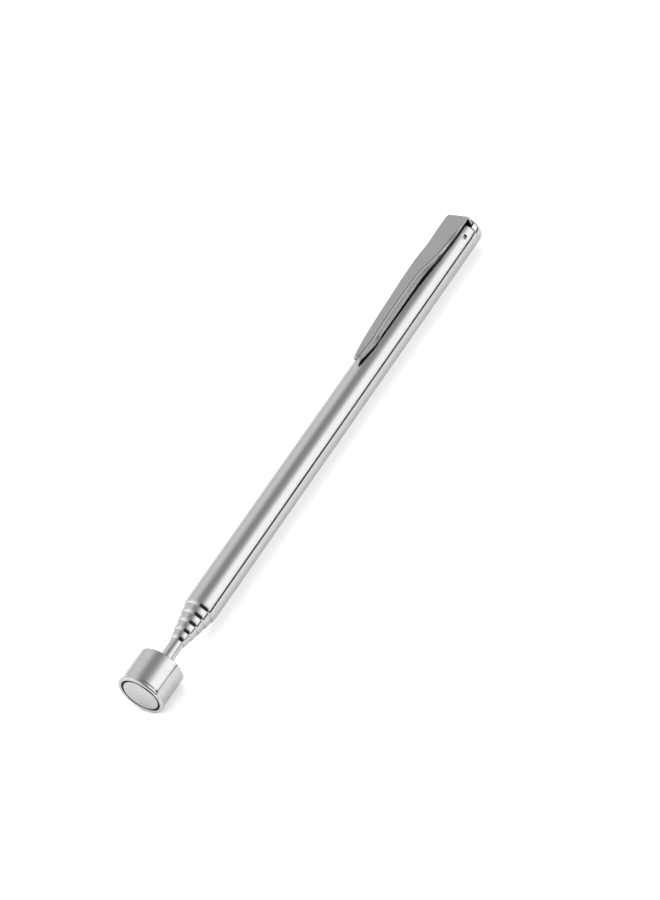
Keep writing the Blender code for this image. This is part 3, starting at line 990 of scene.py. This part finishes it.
# station, height of the outer face, half width of the flat, fold angle, depth of the side flange
CLIP_SHAPE = (
    (130.6, 4.72, 2.08, 0, 0.20),
    (127.0, 4.80, 2.08, 10, 0.20),
    (123.0, 4.98, 2.06, 44, 0.22),
    (120.0, 5.20, 2.02, 76, 0.28),
    (118.0, 5.42, 1.92, 88, 0.38),
    (116.0, 5.70, 1.68, 88, 0.62),
    (114.0, 5.96, 1.38, 88, 0.92),
    (112.0, 6.06, 1.26, 88, 1.04),
    (108.0, 6.04, 1.10, 88, 1.20),
    (104.0, 5.97, 0.96, 88, 1.30),
    (98.0, 5.74, 0.89, 88, 1.14),
    (96.0, 5.60, 0.87, 86, 1.02),
    (94.4, 5.44, 0.90, 76, 0.92),
    (93.0, 5.39, 0.80, 74, 0.82),
    (91.0, 5.38, 0.54, 74, 0.74),
    (89.6, 5.36, 0.32, 74, 0.68),
    (88.5, 5.32, 0.10, 74, 0.60),
)

# %% A smooth curve through the shape's rows
def slope_at(points, index):
    """Slope through a point of a curve that never overshoots: level at the ends and at each turn."""
    if index in (0, len(points) - 1):
        return 0
    before, here, after = points[index - 1 : index + 2]
    rise = (here[1] - before[1]) / (here[0] - before[0])
    onward = (after[1] - here[1]) / (after[0] - here[0])
    return 2 * rise * onward / (rise + onward) if rise * onward > 0 else 0


def eased(points, station):
    """Height at a station of a smooth curve through (station, height) points."""
    for index, (first, second) in enumerate(zip(points, points[1:])):
        if second[0] <= station <= first[0]:
            break
    span = second[0] - first[0]
    t = (station - first[0]) / span
    leaving, arriving = slope_at(points, index) * span, slope_at(points, index + 1) * span
    start_part = (2 * t**3 - 3 * t**2 + 1) * first[1] + (t**3 - 2 * t**2 + t) * leaving
    return start_part + (3 * t**2 - 2 * t**3) * second[1] + (t**3 - t**2) * arriving


def clip_row(station):
    return [eased([(row[0], row[column]) for row in CLIP_SHAPE], station) for column in range(1, 5)]


# %% Fold the strip
def clip_section(flat, fold, flange):
    """Half of the strip's cross-section, as (across, down) points from the middle to the edge."""
    turn = math.radians(fold)
    points = [(flat * step / FLAT_STEPS, 0) for step in range(FLAT_STEPS + 1)]
    for step in range(1, FOLD_STEPS + 1):
        angle = turn * step / FOLD_STEPS
        # An unfolded strip keeps the length that its fold takes up.
        straight = FOLD_RADIUS * (math.pi / 2 - turn) * step / FOLD_STEPS
        reach = flat + FOLD_RADIUS * math.sin(angle) + straight * math.cos(angle)
        points.append((reach, FOLD_RADIUS * (1 - math.cos(angle)) + straight * math.sin(angle)))
    reach, drop = points[-1]
    for step in range(1, FLANGE_STEPS + 1):
        run = flange * step / FLANGE_STEPS
        points.append((reach + run * math.cos(turn), drop + run * math.sin(turn)))
    return points


def clip_path():
    """(station, height, section) down the middle of the sheet: the tab, the bend, then the arm."""
    top = CLIP_SHAPE[0][1] - SHEET / 2
    arm_start, bend_foot = TAB_STATION - BEND_RADIUS, top - BEND_RADIUS
    tab = clip_section(TAB_HALF - FOLD_RADIUS * math.pi / 2 - TAB_FLANGE, 0, TAB_FLANGE)
    path = []
    for step in range(TAB_STEPS):
        path.append((TAB_STATION, TAB_FOOT + (bend_foot - TAB_FOOT) * step / TAB_STEPS, tab))
    for step in range(BEND_STEPS):
        turn = math.pi / 2 * step / BEND_STEPS
        path.append((arm_start + BEND_RADIUS * math.cos(turn), bend_foot + BEND_RADIUS * math.sin(turn), tab))
    first, last = CLIP_SHAPE[0][0], CLIP_SHAPE[-1][0]
    steps = round((first - last) / CLIP_STEP)
    for step in range(steps + 1):
        station = first + (last - first) * step / steps
        height, flat, fold, flange = clip_row(station)
        path.append((station, height - SHEET / 2, clip_section(flat, fold, flange)))
    return path


def folded_strip():
    """A flat grid whose columns are carried onto the clip's path and whose rows are folded."""
    path = clip_path()
    half = FLAT_STEPS + FOLD_STEPS + FLANGE_STEPS
    build = bmesh.new()
    bmesh.ops.create_grid(build, x_segments=len(path) - 1, y_segments=2 * half, size=1)
    for vert in build.verts:
        column = round((vert.co.x + 1) / 2 * (len(path) - 1))
        row = round(vert.co.y * half)
        station, height, section = path[column]
        before, after = path[max(column - 1, 0)], path[min(column + 1, len(path) - 1)]
        along = Vector((after[0] - before[0], 0, after[1] - before[1])).normalized()
        outward = Vector((0, 1, 0)).cross(along)
        across, down = section[abs(row)]
        across = math.copysign(across, row)
        vert.co = (Vector((station, across, height)) - outward * down) * MM
    bmesh.ops.reverse_faces(build, faces=build.faces)
    return build


HIGHLIGHT_EDGE_SLOT, SHADED_INSIDE_SLOT = 1, 2
EDGE_ROUNDING = 0.07
EDGE_ANGLE = math.radians(50)

clip = add_piece("folded_clip", folded_strip(), SATIN, "clip", "clip_steel", "pocket_clip")
clip.data.materials.append(HIGHLIGHT_PAINTED_EDGE)
clip.data.materials.append(SHADE_PAINTED_INSIDE)
clip.modifiers.remove(clip.modifiers["Even normals"])
thicken = clip.modifiers.new("Sheet", "SOLIDIFY")
thicken.thickness = SHEET * MM
thicken.offset = 0
thicken.use_even_offset = True
# The inside shell of the sheet gets the painted shade finish.
thicken.material_offset = SHADED_INSIDE_SLOT
soften = clip.modifiers.new("Edges", "BEVEL")
soften.width = EDGE_ROUNDING * MM
soften.segments = ROUNDING_STEPS
soften.limit_method = "ANGLE"
soften.angle_limit = EDGE_ANGLE
# The rounded edges get the painted highlight finish.
soften.material = HIGHLIGHT_EDGE_SLOT
clip.modifiers.new("Even normals", "WEIGHTED_NORMAL").keep_sharp = True

# %% [markdown]
# The tip of a real clip presses on the tube through a small pad, which keeps the channel's raw edges off
# the polish. Here the pad is a ball, let into the underside of the sheet, with a thin gap to the tube.

# %% Clip pad
PAD_STATION = 95.4
PAD_RADIUS = 0.80
PAD_HEIGHT = 0.82
PAD_GAP = 0.12

pad = bmesh.new()
bmesh.ops.create_uvsphere(pad, u_segments=48, v_segments=24, radius=PAD_RADIUS * MM)
bmesh.ops.scale(pad, vec=(1, 1, PAD_HEIGHT / PAD_RADIUS), verts=pad.verts)
pad_middle = Vector((PAD_STATION, 0, TUBE_RADII[0] + PAD_GAP + PAD_HEIGHT)) * MM
bmesh.ops.translate(pad, vec=pad_middle, verts=pad.verts)
add_piece("clip_pad", pad, SATIN, "clip", "clip_steel")
